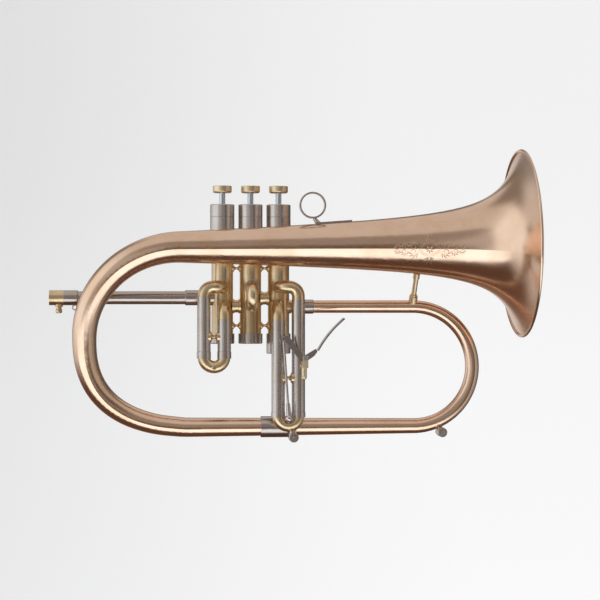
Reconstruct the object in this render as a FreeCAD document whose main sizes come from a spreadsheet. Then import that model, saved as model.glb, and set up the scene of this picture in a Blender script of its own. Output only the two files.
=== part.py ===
import FreeCAD, Part
import math
import os
import re

import Sketcher
from FreeCAD import Placement, Rotation, Vector

# A three-valve flugelhorn. Millimetres.
# The origin is the centre of the mouthpiece receiver's mouth. +X runs along the leadpipe
# towards the bell, +Z runs up along the valves, and the valve slides stand on the -Y side.

os.makedirs("parts", exist_ok=True)
document = FreeCAD.newDocument("Flugelhorn")
sheet = document.addObject("Spreadsheet::Sheet", "Sizes")

SIZES = {
    # sheet metal and air column
    "tube_wall": 0.5,
    "bell_wall": 0.6,
    "air_radius": 4.9,
    "running_gap": 0.05,
    # leadpipe, on the X axis
    "sleeve_radius": 5.75,
    "sleeve_bore": 5.35,
    "clamp_radius": 6.6,
    "clamp_length": 12.7,
    "collar_end": 25.3,
    "collar_bevel": 1.2,
    "lead_ferrule_start": 118.1,
    "lead_ferrule_radius": 6.7,
    "mouthpipe_end": 125.0,
    "shank_radius": 4.75,
    "shank_depth": 25.0,
    "venturi_radius": 4.2,
    "groove_depth": 0.3,
    "groove_width": 0.35,
    "groove_pitch": 1.3,
    "clamp_slot": 1.0,
    "thumbscrew_place": 8.3,
    "thumbscrew_radius": 2.35,
    "thumbscrew_head": 2.8,
    "thumbscrew_drop": 13.5,
    "thumbscrew_grip": 3.6,
    "boss_wall": 1.1,
    "boss_drop": 2.2,
    "loop_place": 22.2,
    "loop_height": -8.5,
    "loop_radius": 2.1,
    "loop_wire": 0.5,
    # valves
    "middle_valve": 175.6,
    "valve_pitch": 24.8,
    "casing_radius": 9.45,
    "casing_bore": 8.5,
    "casing_foot": -38.0,
    "casing_head": 72.0,
    "cap_radius": 10.7,
    "barrel_foot": 44.0,
    "barrel_head": 70.9,
    "joint_bevel": 0.25,
    "cap_top": 82.0,
    "cap_recess": 6.5,
    "cap_roof": 1.5,
    "cap_edge": 0.5,
    "bottom_cap_head": -31.6,
    "bottom_cap_foot": -40.4,
    "long_cap_foot": -49.2,
    "cap_floor": 1.6,
    "vent_radius": 2.0,
    "piston_foot": -21.0,
    "piston_deck": 30.0,
    "piston_head": 72.5,
    "piston_wall": 0.7,
    "deck_thickness": 1.2,
    "spring_room": 7.3,
    "valve_stroke": 15.0,
    "guide_foot": 32.0,
    "guide_height": 2.0,
    "guide_width": 4.0,
    "guide_reach": 8.9,
    "guide_disc": 7.0,
    "stem_disc": 3.0,
    "stem_radius": 2.6,
    "stem_tip": 2.0,
    "stem_screw": 4.0,
    "stem_gap": 0.15,
    "button_radius": 8.3,
    "button_foot": 92.2,
    "button_head": 98.4,
    "button_round": 1.6,
    "felt_height": 1.5,
    "spring_coil": 5.6,
    "spring_wire": 0.5,
    "spring_pitch": 4.6,
    # heights where tubes enter the casings
    "line_first": -7.5,
    "line_second": -0.5,
    "line_exit": -7.85,
    "port_upper": 9.4,
    "port_lower": -6.4,
    "knuckle_radius": 5.5,
    "knuckle_ring": 6.2,
    "knuckle_ring_width": 1.1,
    # hourglass braces
    "brace_end": 3.3,
    "brace_waist": 1.1,
    "brace_seat": 3.2,
    "brace_edge": 0.3,
    "slide_brace_end": 4.8,
    "slide_brace_waist": 1.4,
    "brace_high": 26.0,
    "brace_low": -24.5,
    # valve slides
    "slide_depth": 20.0,
    "leg_spacing": 17.65,
    "slide_tube": 5.85,
    "slide_bore": 5.25,
    "leg_radius": 5.2,
    "leg_bore": 4.75,
    "ferrule_radius": 6.15,
    "crook_tube": 5.35,
    "elbow_tube": 5.6,
    "upper_bend": 8.2,
    "lower_bend": 10.3,
    "ring_gap": 0.25,
    "slide_one_leg": 151.7,
    "slide_one_outer_head": 1.05,
    "slide_one_front_head": -18.8,
    "slide_one_foot": -46.5,
    "slide_one_ring": -51.4,
    "slide_one_skirt": -52.7,
    "slide_one_reach": 24.0,
    "slide_one_brace": -34.0,
    "slide_two_foot": 21.0,
    "slide_two_ring": 24.5,
    "slide_two_reach": 8.5,
    "slide_three_leg": 198.65,
    "slide_three_outer_head": -1.4,
    "slide_three_front_head": -19.4,
    "slide_three_foot": -99.0,
    "slide_three_ring": -102.6,
    "slide_three_skirt": -104.0,
    "slide_three_reach": 60.0,
    "slide_three_brace": -69.8,
    "knob_radius": 1.9,
    "knob_neck": 1.3,
    "knob_reach": 4.0,
    # main tubing: exit pipe, bow, lower tube
    "exit_start": 222.0,
    "exit_radius": 5.5,
    "exit_ferrule_start": 213.0,
    "exit_ferrule_end": 231.3,
    "exit_ferrule_radius": 6.3,
    "bow_place": 320.4,
    "bow_upper_radius": 5.6,
    "bow_lower_radius": 6.7,
    "lower_height": -113.6,
    "lower_depth": -2.5,
    "joint_place": 198.0,
    "joint_radius": 7.85,
    "joint_ferrule_start": 184.4,
    "joint_ferrule_end": 211.0,
    "joint_ferrule_radius": 9.3,
    # bell: bow at the player's end, then the flare
    "bell_lean": 9.84,
    "bell_pitch": 0.75,
    "bow_lower_place": 132.1,
    "bow_left": 31.1,
    "bow_middle_height": 80.0,
    "bow_upper_width": 83.1,
    "bow_upper_height": 79.5,
    "bow_lower_power": 2.5,
    "bow_foot_radius": 8.4,
    "bow_middle_radius": 10.5,
    "flare_length": 297.8,
    "bell_throat": 21.75,
    "bell_taper": 0.0333,
    "bell_flare": 5445.0,
    "bell_shift": 25.27,
    "bell_power": 1.3988,
    "rim_radius": 81.0,
    "rim_wire": 1.3,
    # finger ring and braces
    "ring_place": 227.9,
    "ring_height": 80.1,
    "ring_outer": 11.6,
    "ring_inner": 10.0,
    "ring_width": 4.5,
    "ring_bevel": 0.4,
    "neck_shift": 1.2,
    "neck_lean": 5.6,
    "neck_head": 1.5,
    "neck_foot": 2.6,
    "neck_height": 6.8,
    "strap_start": 230.0,
    "strap_end": 262.0,
    "strap_width": 7.0,
    "strap_thickness": 1.3,
    "brace_place": 319.6,
    "brace_slant": 2.6,
    "brace_rod": 2.2,
    "brace_foot_radius": 3.75,
    "brace_foot_length": 7.0,
    "brace_foot_step": 1.6,
    "brace_foot_inset": 0.8,
    "brace_top_length": 4.5,
    "brace_top_radius": 2.9,
    "lead_brace_place": 34.0,
    "lead_brace_rod": 2.0,
    "lead_brace_flange": 3.4,
    "lead_brace_foot": 1.2,
    # trigger of the third slide
    "pivot_place": 221.6,
    "pivot_height": -52.4,
    "hinge_place": 202.8,
    "hinge_height": -35.7,
    "lever_depth": -30.1,
    "lever_thickness": 2.0,
    "lever_gap": 0.15,
    "boss_radius": 2.8,
    "lug_radius": 1.8,
    "blade_rise": 127.0,
    "blade_length": 26.0,
    "blade_width": 5.3,
    "blade_round": 1.4,
    "pin_radius": 1.2,
    "pin_head": 2.0,
    "pin_head_height": 1.0,
    "pin_length": 7.6,
    "pin_slot": 0.5,
    "trigger_wire": 0.28,
    "cheek_thickness": 2.0,
    "clevis_width": 4.5,
    "clevis_height": 10.5,
    "clevis_drop": 8.4,
    "clevis_floor": 2.6,
    "tongue_place": 220.8,
    "tongue_depth": -25.2,
    "tongue_radius": 2.5,
    "tongue_foot": -68.9,
    "grip_place": 231.6,
    "grip_height": -45.4,
    "grip_radius": 96.0,
    "grip_angle": 21.8,
    "grip_turn": 28.8,
    "grip_width": 11.0,
    "grip_thickness": 1.4,
    "rod_depth": -27.8,
    "rod_radius": 1.1,
    "rod_eye_width": 1.9,
    "rod_eye": 2.3,
    "rod_stud": 0.9,
    "rod_sleeve": 2.3,
    "rod_sleeve_length": 11.0,
    "rod_sleeve_taper": 0.5,
    "ball_place": 207.5,
    "ball_height": -104.7,
    "ball_radius": 2.15,
    "socket_gap": 0.65,
    "socket_wall": 0.6,
    "socket_lip": 0.15,
    "post_radius": 1.2,
    "post_length": 9.0,
    # water keys
    "key_radius": 4.3,
    "key_length": 14.0,
    "key_bore": 3.0,
    "key_shoulder": 2.0,
    "key_piston": 2.95,
    "key_button": 1.9,
    "key_reach": 2.6,
    "key_ring_inner": 0.8,
    "key_ring_outer": 1.25,
    "key_ring_depth": 0.35,
    "key_lip": 0.9,
    "nipple_radius": 2.6,
    "nipple_bore": 1.4,
    "nipple_length": 9.0,
    "slide_key_place": 211.9,
    "slide_key_height": -121.3,
    "main_key_place": 345.4,
    "main_key_height": -119.2,
}

for row, (alias, value) in enumerate(SIZES.items(), start=1):
    sheet.set(f"A{row}", alias.replace("_", " "))
    sheet.set(f"B{row}", str(value))
    sheet.setAlias(f"B{row}", alias)
document.recompute()

SUB_PARTS = []
X_AXIS = Vector(1, 0, 0)
Y_AXIS = Vector(0, 1, 0)
Z_AXIS = Vector(0, 0, 1)
LEFT = -X_AXIS
FRONT = -Y_AXIS
DOWN = -Z_AXIS
VALVES = (1, 2, 3)


# ---------------------------------------------------------------- helpers

def over_sheet(formula):
    """The formula with every size's name pointed at the sheet."""
    return re.sub(r"\b([a-z]\w*)\b(?!\()", r"Sizes.\1", formula)


def mm(formula):
    """The value of a formula over the sheet's sizes."""
    return float(sheet.evalExpression(over_sheet(formula)))


def keep(label, piece):
    """Names a finished sub-part and keeps it for the export."""
    piece.Label = label
    SUB_PARTS.append(piece)
    return piece


def at(x, y, z, direction=Z_AXIS):
    """The placement of a shape whose own Z axis looks along direction."""
    return Placement(Vector(x, y, z), Rotation(Z_AXIS, direction))


def axes(origin, x_axis, y_axis):
    """The placement that turns a shape's own X and Y axes onto the given ones."""
    return Placement(origin, Rotation(x_axis, y_axis, x_axis.cross(y_axis), "XYZ"))


def primitive(kind, label, placement, **sizes):
    """A Part primitive whose sizes are formulas over the sheet."""
    piece = document.addObject("Part::" + kind, label)
    piece.Label = label
    for name, formula in sizes.items():
        piece.setExpression(name, over_sheet(formula))
    piece.Placement = placement
    return piece


def fused(label, pieces):
    """The pieces joined into one."""
    if len(pieces) == 1:
        return pieces[0]
    joined = document.addObject("Part::MultiFuse", label)
    joined.Label = label
    joined.Shapes = pieces
    return joined


def cut(label, base, tools):
    """The base with the tools taken away."""
    result = document.addObject("Part::Cut", label)
    result.Label = label
    result.Base = base
    result.Tool = fused(label + "_tools", tools)
    return result


def common(label, first, second):
    """What two pieces share."""
    result = document.addObject("Part::Common", label)
    result.Label = label
    result.Base = first
    result.Tool = second
    return result


def group(label, pieces):
    """Separate solids that share one sub-part."""
    result = document.addObject("Part::Compound", label)
    result.Links = pieces
    return keep(label, result)


def sketch_on(body, plane, label):
    """A sketch on one of the body's own origin planes."""
    sketch = body.newObject("Sketcher::SketchObject", label)
    for feature in body.Origin.OriginFeatures:
        if feature.Role == plane:
            sketch.AttachmentSupport = [(feature, "")]
    sketch.MapMode = "FlatFace"
    return sketch


def pin_corner(sketch, line, x, y):
    """Binds the start of a line to two formulas."""
    for kind, formula, axis in (("DistanceX", x, -2), ("DistanceY", y, -1)):
        value = mm(formula)
        if abs(value) < 1e-9:
            sketch.addConstraint(Sketcher.Constraint("PointOnObject", line, 1, axis))
        else:
            index = sketch.addConstraint(Sketcher.Constraint(kind, line, 1, value))
            sketch.setExpression(f"Constraints[{index}]", over_sheet(formula))


def draw_outline(sketch, corners):
    """A closed outline of straight lines through corners given as formulas."""
    points = [Vector(mm(x), mm(y), 0) for x, y in corners]
    count = len(points)
    for index, point in enumerate(points):
        sketch.addGeometry(Part.LineSegment(point, points[(index + 1) % count]), False)
    for index, (x, y) in enumerate(corners):
        before = (index - 1) % count
        sketch.addConstraint(Sketcher.Constraint("Coincident", before, 2, index, 1))
        pin_corner(sketch, index, x, y)


def turned(label, corners, placement=Placement()):
    """A body of revolution about its own Z axis; corners are (radius, height) formulas."""
    body = document.addObject("PartDesign::Body", label)
    sketch = sketch_on(body, "XZ_Plane", label + "_outline")
    draw_outline(sketch, corners)
    turning = body.newObject("PartDesign::Revolution", label + "_turning")
    turning.Profile = sketch
    turning.ReferenceAxis = (sketch, ["V_Axis"])
    turning.Angle = 360
    body.Placement = placement
    return body


def pipe(label, outer, bore, foot, head, placement=Placement()):
    """A plain turned tube."""
    corners = [(bore, foot), (outer, foot), (outer, head), (bore, head)]
    return turned(label, corners, placement)


def padded(label, corners, thickness, placement):
    """A flat plate: an outline in its own XY plane, padded evenly to both sides."""
    body = document.addObject("PartDesign::Body", label)
    sketch = sketch_on(body, "XY_Plane", label + "_outline")
    draw_outline(sketch, corners)
    pad = body.newObject("PartDesign::Pad", label + "_pad")
    pad.Profile = sketch
    pad.setExpression("Length", over_sheet(thickness))
    pad.SideType = "Symmetric"
    body.Placement = placement
    return body


def round_edges(body, radius, chosen):
    """Fillets the edges of the body's last feature whose centre passes the chosen test."""
    document.recompute()
    last = body.Tip
    names = []
    for index, edge in enumerate(last.Shape.Edges, start=1):
        if isinstance(edge.Curve, Part.Circle) and chosen(edge.Curve):
            names.append(f"Edge{index}")
    fillet = body.newObject("PartDesign::Fillet", body.Label + "_fillet")
    fillet.Base = (last, names)
    fillet.setExpression("Radius", over_sheet(radius))
    body.Tip = fillet
    return body


def coil(label, radius, wire, pitch, height, placement):
    """A coil spring that starts at its own origin and rises along its own Z."""
    body = document.addObject("PartDesign::Body", label)
    sketch = sketch_on(body, "XZ_Plane", label + "_wire")
    sketch.addGeometry(Part.Circle(Vector(mm(radius), 0, 0), Z_AXIS, mm(wire)), False)
    sketch.addConstraint(Sketcher.Constraint("PointOnObject", 0, 3, -1))
    place = sketch.addConstraint(Sketcher.Constraint("DistanceX", 0, 3, mm(radius)))
    sketch.setExpression(f"Constraints[{place}]", over_sheet(radius))
    size = sketch.addConstraint(Sketcher.Constraint("Radius", 0, mm(wire)))
    sketch.setExpression(f"Constraints[{size}]", over_sheet(wire))
    helix = body.newObject("PartDesign::AdditiveHelix", label + "_helix")
    helix.Profile = sketch
    helix.ReferenceAxis = (sketch, ["V_Axis"])
    helix.Mode = 0
    helix.setExpression("Pitch", over_sheet(pitch))
    helix.setExpression("Height", over_sheet(height))
    body.Placement = placement
    return body


def bent_solid(label, start, heading, moves, radius):
    """A round bar of straight runs and circular bends, all of one radius."""
    point = Vector(start)
    heading = Vector(heading)
    pieces = []
    for number, move in enumerate(moves, start=1):
        name = f"{label}_{number}"
        if move[0] == "run":
            place = Placement(point, Rotation(Z_AXIS, heading))
            pieces.append(primitive("Cylinder", name, place, Radius=radius, Height=move[1]))
            point = point + heading * mm(move[1])
        else:
            bend, angle, side = mm(move[1]), math.radians(mm(move[2])), move[3]
            centre = point + side * bend
            place = axes(centre, -side, heading)
            sizes = {"Radius1": move[1], "Radius2": radius, "Angle3": move[2]}
            pieces.append(primitive("Torus", name, place, **sizes))
            point = centre - side * (bend * math.cos(angle)) + heading * (bend * math.sin(angle))
            heading = heading * math.cos(angle) + side * math.sin(angle)
    return fused(label, pieces)


def bent_tube(label, start, heading, moves, outer, bore):
    """A tube of straight runs and circular bends."""
    bar = bent_solid(label + "_bar", start, heading, moves, outer)
    hole = bent_solid(label + "_hole", start, heading, moves, bore)
    return cut(label, bar, [hole])


class LeaningPlane:
    """A plane that holds the X direction and leans about it."""

    def __init__(self, y, z, lean):
        self.origin = Vector(0, y, z)
        self.up = Vector(0, -math.sin(math.radians(lean)), math.cos(math.radians(lean)))
        self.normal = X_AXIS.cross(self.up)

    def point(self, along, up):
        return self.origin + X_AXIS * along + self.up * up

    def direction(self, along, up):
        result = X_AXIS * along + self.up * up
        return result.normalize()

    def section(self, label, along, up, direction, radius):
        """A circle across a tube that runs in this plane."""
        place = axes(self.point(along, up), self.normal, direction.cross(self.normal))
        return primitive("Circle", label, place, Radius=radius)


def swept(label, spine, sections):
    """A tapering bar along a curved spine, between its end sections."""
    result = document.addObject("Part::Sweep", label)
    result.Label = label
    result.Sections = sections
    result.Spine = (spine, ["Edge1"])
    result.Solid = True
    result.Frenet = False
    return result


# ---------------------------------------------------------------- valves

def valve_x(number):
    return mm("middle_valve") + (number - 2) * mm("valve_pitch")


def casing_space(number):
    """The full cylinder that a casing fills, for fitting tubes against it."""
    label = f"casing_space_{number}"
    place = at(valve_x(number), 0, mm("casing_foot"))
    return primitive("Cylinder", label, place, Radius="casing_radius",
                     Height="casing_head - casing_foot")


CASING_SPACES = [casing_space(number) for number in VALVES]

# The air line passes through the casings at these heights, from leadpipe to exit pipe.
LINE_HEIGHTS = ("0", "line_first", "line_second", "line_exit")


def front_ports(number):
    """The X places of a casing's upper and lower slide ports."""
    if number == 1:
        leg = mm("slide_one_leg")
        return leg - mm("leg_spacing") + 2 * mm("upper_bend"), leg
    if number == 3:
        leg = mm("slide_three_leg")
        return leg + mm("leg_spacing") - 2 * mm("upper_bend"), leg
    return valve_x(2), valve_x(2)


def valve_casing(number):
    """The brass tube a piston runs in, with four ports and two keyways for the guide."""
    label = f"valve_casing_{number}"
    x = valve_x(number)
    shell = pipe(label + "_shell", "casing_radius", "casing_bore", "casing_foot",
                 "casing_head", at(x, 0, 0))
    upper, lower = front_ports(number)
    ports = (
        (x, LINE_HEIGHTS[number - 1], LEFT),
        (x, LINE_HEIGHTS[number], X_AXIS),
        (upper, "port_upper", FRONT),
        (lower, "port_lower", FRONT),
    )
    tools = []
    for index, (port_x, height, direction) in enumerate(ports, start=1):
        place = at(port_x, 0, mm(height), direction)
        tools.append(primitive("Cylinder", f"{label}_port_{index}", place,
                               Radius="air_radius", Height="casing_radius + tube_wall"))
    corner = at(x - mm("guide_width / 2 + running_gap"), -mm("guide_reach + running_gap"),
                mm("guide_foot - running_gap"))
    tools.append(primitive("Box", label + "_keyway", corner,
                           Length="guide_width + 2 * running_gap",
                           Width="2 * (guide_reach + running_gap)",
                           Height="guide_height + 2 * running_gap"))
    return keep(label, cut(label, shell, tools))


def piston(number):
    """A hollow piston: ported body below its deck, spring barrel above it."""
    label = f"piston_{number}"
    x = valve_x(number)
    outer = "casing_bore - running_gap"
    inner = outer + " - piston_wall"
    place = at(x, 0, 0)
    body = turned(label + "_wall", [
        ("vent_radius", "piston_foot"), (outer, "piston_foot"), (outer, "piston_head"),
        ("spring_room", "piston_head"), ("spring_room", "piston_deck"),
        ("vent_radius", "piston_deck"), ("vent_radius", "piston_deck - deck_thickness"),
        (inner, "piston_deck - deck_thickness"), (inner, "piston_foot + deck_thickness"),
        ("vent_radius", "piston_foot + deck_thickness"),
    ], place)
    block = primitive("Cylinder", label + "_block", at(x, 0, mm("piston_foot + 1")),
                      Radius=outer, Height="piston_deck - piston_foot - 2")
    upper, lower = front_ports(number)
    entry, leaving = LINE_HEIGHTS[number - 1], LINE_HEIGHTS[number]
    lift = mm("valve_stroke")
    reach = mm("casing_radius")

    def passage(start, end, radius, name):
        span = end - start
        bar = primitive("Cylinder", f"{label}_{name}", Placement(start, Rotation(Z_AXIS, span)),
                        Radius=radius)
        bar.Height = span.Length
        return bar

    def passages(radius, kind):
        left = Vector(x - reach, 0, mm(entry))
        right = Vector(x + reach, 0, mm(leaving))
        up = Vector(0, 0, lift)
        front_high = Vector(upper, -reach, mm("port_upper")) + up
        front_low = Vector(lower, -reach, mm("port_lower")) + up
        high_turn = Vector(x, 0, (left.z + lift + front_high.z) / 2)
        low_turn = Vector(x, 0, (right.z + lift + front_low.z) / 2)
        pairs = (
            (left, right), (left + up, high_turn), (front_high, high_turn),
            (right + up, low_turn), (front_low, low_turn),
        )
        bars = []
        for index, (start, end) in enumerate(pairs, start=1):
            bars.append(passage(start, end, radius, f"{kind}_{index}"))
        for index, turn in enumerate((high_turn, low_turn), start=1):
            bars.append(primitive("Sphere", f"{label}_{kind}_turn_{index}",
                                  at(turn.x, turn.y, turn.z), Radius=radius))
        return bars

    tubes = fused(label + "_tubes", passages("air_radius - 0.1", "tube"))
    lining = common(label + "_lining", block, tubes)
    solid = fused(label + "_solid", [body, lining])
    window = primitive("Box", label + "_window",
                       at(x - mm("guide_width / 2 + 0.2"), -mm("casing_radius"),
                          mm("guide_foot - 0.5")),
                       Length="guide_width + 0.4", Width="2 * casing_radius",
                       Height="valve_stroke + guide_height + 1.5")
    holes = passages("air_radius - 0.6", "hole") + [window]
    return keep(label, cut(label, solid, holes))


def valve_stem(number):
    """The stem and the disc that screws into the head of the spring barrel."""
    place = at(valve_x(number), 0, 0)
    return keep(f"valve_stem_{number}", turned(f"valve_stem_{number}", [
        ("0", "piston_head - stem_disc"), ("spring_room", "piston_head - stem_disc"),
        ("spring_room", "piston_head"), ("stem_radius", "piston_head"),
        ("stem_radius", "button_foot"), ("stem_tip", "button_foot"),
        ("stem_tip", "button_foot + stem_screw"), ("0", "button_foot + stem_screw"),
    ], place))


def finger_button(number):
    """A plain round button with a softened lower edge, screwed on the stem."""
    label = f"finger_button_{number}"
    body = turned(label, [
        ("stem_tip", "button_foot"), ("button_radius", "button_foot"),
        ("button_radius", "button_head"), ("0", "button_head"),
        ("0", "button_foot + stem_screw"), ("stem_tip", "button_foot + stem_screw"),
    ], at(valve_x(number), 0, 0))
    wide = mm("button_radius")
    foot = mm("button_foot")
    head = mm("button_head")
    round_edges(body, "button_round", lambda c: abs(c.Radius - wide) < 0.01
                and abs(c.Center.z - foot) < 0.01)
    round_edges(body, "button_round / 3", lambda c: abs(c.Radius - wide) < 0.01
                and abs(c.Center.z - head) < 0.01)
    return keep(label, body)


def valve_spring(number):
    """The return spring between the guide and the stem's disc."""
    low = mm("guide_foot + guide_height + spring_wire + 0.1")
    height = "piston_head - stem_disc - guide_foot - guide_height - 2 * spring_wire - 0.2"
    return keep(f"valve_spring_{number}", coil(
        f"valve_spring_{number}", "spring_coil", "spring_wire", "spring_pitch", height,
        at(valve_x(number), 0, low)))


def valve_guide(number):
    """The crosswise guide that keys the piston to the casing."""
    label = f"valve_guide_{number}"
    x = valve_x(number)
    disc = pipe(label + "_disc", "guide_disc", "stem_radius", "guide_foot",
                "guide_foot + guide_height", at(x, 0, 0))
    bar = primitive("Box", label + "_bar",
                    at(x - mm("guide_width / 2"), -mm("guide_reach"), mm("guide_foot")),
                    Length="guide_width", Width="2 * guide_reach", Height="guide_height")
    hole = primitive("Cylinder", label + "_hole", at(x, 0, mm("guide_foot - 1")),
                     Radius="stem_radius", Height="guide_height + 2")
    return cut(label, fused(label + "_blank", [disc, bar]), [hole])


def valve_barrel(number):
    """The nickel sleeve around the upper half of a casing."""
    return turned(f"valve_barrel_{number}", [
        ("casing_radius", "barrel_foot"), ("cap_radius - joint_bevel", "barrel_foot"),
        ("cap_radius", "barrel_foot + joint_bevel"), ("cap_radius", "barrel_head - joint_bevel"),
        ("cap_radius - joint_bevel", "barrel_head"), ("casing_radius", "barrel_head"),
    ], at(valve_x(number), 0, 0))


def top_cap(number):
    """The top cap: threaded over the casing, its head dished for the button."""
    recess = "cap_top - cap_recess"
    roof = recess + " - cap_roof"
    return turned(f"valve_top_cap_{number}", [
        ("casing_radius", "barrel_head"), ("cap_radius - joint_bevel", "barrel_head"),
        ("cap_radius", "barrel_head + joint_bevel"),
        ("cap_radius", "cap_top - cap_edge"), ("cap_radius - cap_edge", "cap_top"),
        ("button_radius + cap_edge", "cap_top"), ("button_radius + cap_edge", recess),
        ("stem_radius + stem_gap", recess), ("stem_radius + stem_gap", roof),
        ("casing_bore", roof), ("casing_bore", "casing_head"),
        ("casing_radius", "casing_head"),
    ], at(valve_x(number), 0, 0))


def cap_felt(number):
    """The felt washer in the dish of a top cap."""
    floor = "cap_top - cap_recess"
    return pipe(f"cap_felt_{number}", "button_radius - 0.3", "stem_radius + 0.4", floor,
                floor + " + felt_height", at(valve_x(number), 0, 0))


def bottom_cap(number):
    """The bottom cap; the third valve's is deeper."""
    foot = "long_cap_foot" if number == 3 else "bottom_cap_foot"
    return turned(f"valve_bottom_cap_{number}", [
        ("vent_radius", foot), ("cap_radius - cap_edge", foot),
        ("cap_radius", foot + " + cap_edge"), ("cap_radius", "bottom_cap_head"),
        ("casing_radius", "bottom_cap_head"), ("casing_radius", "casing_foot"),
        ("casing_bore", "casing_foot"), ("casing_bore", foot + " + cap_floor"),
        ("vent_radius", foot + " + cap_floor"),
    ], at(valve_x(number), 0, 0))


def crossover(number):
    """The short ringed tube from one casing to the next."""
    label = f"crossover_{number}"
    ring = "casing_radius + knuckle_ring_width"
    blank = turned(label + "_blank", [
        ("air_radius", "casing_bore"), ("knuckle_ring", "casing_bore"),
        ("knuckle_ring", ring), ("knuckle_radius", ring),
        ("knuckle_radius", f"valve_pitch - {ring.replace('+', '-')}"),
        ("knuckle_ring", f"valve_pitch - {ring.replace('+', '-')}"),
        ("knuckle_ring", "valve_pitch - casing_bore"),
        ("air_radius", "valve_pitch - casing_bore"),
    ], at(valve_x(number), 0, mm(LINE_HEIGHTS[number]), X_AXIS))
    return cut(label, blank, CASING_SPACES[number - 1:number + 1])


def hourglass(label, centre, half_gap, end, waist, tools):
    """A brace with an hourglass waist, lying along X between two round tubes."""
    half = f"({half_gap})"
    middle = f"({waist} + 0.28 * ({end} - {waist}))"
    side = [("0", f"{half} + brace_seat"), (end, f"{half} + brace_seat"),
            (end, f"{half} - brace_edge"), (middle, f"0.55 * {half}"), (waist, f"0.2 * {half}")]
    corners = side + [(radius, f"-({along})") for radius, along in reversed(side)]
    place = Placement(centre, Rotation(Z_AXIS, X_AXIS))
    return cut(label, turned(label + "_blank", corners, place), tools)


def casing_braces():
    """The four hourglass braces between neighbouring casings."""
    pieces = []
    for number in (1, 2):
        for height in ("brace_high", "brace_low"):
            centre = Vector(valve_x(number) + mm("valve_pitch / 2"), 0, mm(height))
            pieces.append(hourglass(f"casing_brace_{number}_{height}", centre,
                                    "valve_pitch / 2 - casing_radius", "brace_end",
                                    "brace_waist", CASING_SPACES[number - 1:number + 1]))
    return pieces


for valve in VALVES:
    valve_casing(valve)
    piston(valve)
    valve_stem(valve)
    finger_button(valve)
    valve_spring(valve)
group("valve_guides", [valve_guide(valve) for valve in VALVES])
group("valve_barrels", [valve_barrel(valve) for valve in VALVES])
group("valve_top_caps", [top_cap(valve) for valve in VALVES])
group("valve_bottom_caps", [bottom_cap(valve) for valve in VALVES])
group("cap_felts", [cap_felt(valve) for valve in VALVES])
group("crossover_tubes", [crossover(valve) for valve in (1, 2)])
group("casing_braces", casing_braces())


# ---------------------------------------------------------------- leadpipe

def leadpipe_sleeve():
    """The outer leadpipe, slotted at its mouth so that the clamp can close it."""
    blank = pipe("leadpipe_sleeve_blank", "sleeve_radius", "sleeve_bore", "0",
                 "middle_valve - valve_pitch", at(0, 0, 0, X_AXIS))
    slot = primitive("Box", "leadpipe_sleeve_slot",
                     at(0, -mm("clamp_slot / 2"), 0),
                     Length="clamp_length", Width="clamp_slot", Height="2 * sleeve_radius")
    hole = primitive("Cylinder", "leadpipe_sleeve_hole", at(mm("thumbscrew_place"), 0, 0, DOWN),
                     Radius="thumbscrew_radius + 0.1", Height="2 * sleeve_radius")
    keep("leadpipe_sleeve", cut("leadpipe_sleeve", blank, [slot, hole, CASING_SPACES[0]]))


def receiver_clamp():
    """The brass clamp ring at the receiver's mouth, grooved, slotted and tapped below."""
    corners = [("sleeve_radius", "0")]
    for groove in (1, 2, 3):
        start = f"groove_pitch * {groove} - groove_width"
        end = f"groove_pitch * {groove}"
        corners += [("clamp_radius", start), ("clamp_radius - groove_depth", start),
                    ("clamp_radius - groove_depth", end), ("clamp_radius", end)]
    corners.insert(1, ("clamp_radius", "0"))
    corners += [("clamp_radius", "clamp_length"), ("sleeve_radius", "clamp_length")]
    ring = turned("receiver_clamp_ring", corners, at(0, 0, 0, X_AXIS))
    boss = primitive("Cylinder", "receiver_clamp_boss",
                     at(mm("thumbscrew_place"), 0, -mm("sleeve_radius"), DOWN),
                     Radius="thumbscrew_radius + boss_wall", Height="boss_drop")
    slot = primitive("Box", "receiver_clamp_slot", at(-1, -mm("clamp_slot / 2"), 0),
                     Length="clamp_length + 2", Width="clamp_slot", Height="2 * clamp_radius")
    hole = primitive("Cylinder", "receiver_clamp_hole", at(mm("thumbscrew_place"), 0, 0, DOWN),
                     Radius="thumbscrew_radius + running_gap", Height="2 * clamp_radius")
    core = primitive("Cylinder", "receiver_clamp_core", at(-1, 0, 0, X_AXIS),
                     Radius="sleeve_radius", Height="clamp_length + 2")
    blank = fused("receiver_clamp_blank", [ring, boss])
    keep("receiver_clamp", cut("receiver_clamp", blank, [slot, hole, core]))


def clamp_thumbscrew():
    """The brass screw under the clamp, with a swollen round end to grip."""
    body = turned("clamp_thumbscrew", [
        ("0", "sleeve_bore + 0.1"), ("thumbscrew_radius", "sleeve_bore + 0.1"),
        ("thumbscrew_radius", "thumbscrew_drop - thumbscrew_grip"),
        ("thumbscrew_head", "thumbscrew_drop - thumbscrew_grip + 0.6"),
        ("thumbscrew_head", "thumbscrew_drop"), ("0", "thumbscrew_drop"),
    ], at(mm("thumbscrew_place"), 0, 0, DOWN))
    drop = mm("thumbscrew_drop")
    round_edges(body, "thumbscrew_head / 2.2", lambda c: abs(abs(c.Center.z) - drop) < 0.01)
    keep("clamp_thumbscrew", body)


def mouthpipe():
    """The sliding mouthpipe, with the mouthpiece socket in its outer end."""
    outer = "sleeve_bore - running_gap"
    keep("mouthpipe", turned("mouthpipe", [
        ("shank_radius", "0"), (outer, "0"), (outer, "mouthpipe_end"),
        ("air_radius - 0.2", "mouthpipe_end"), ("venturi_radius", "shank_depth + 8"),
        ("venturi_radius", "shank_depth + 2"), ("shank_radius", "shank_depth"),
    ], at(0, 0, 0, X_AXIS)))


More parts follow.
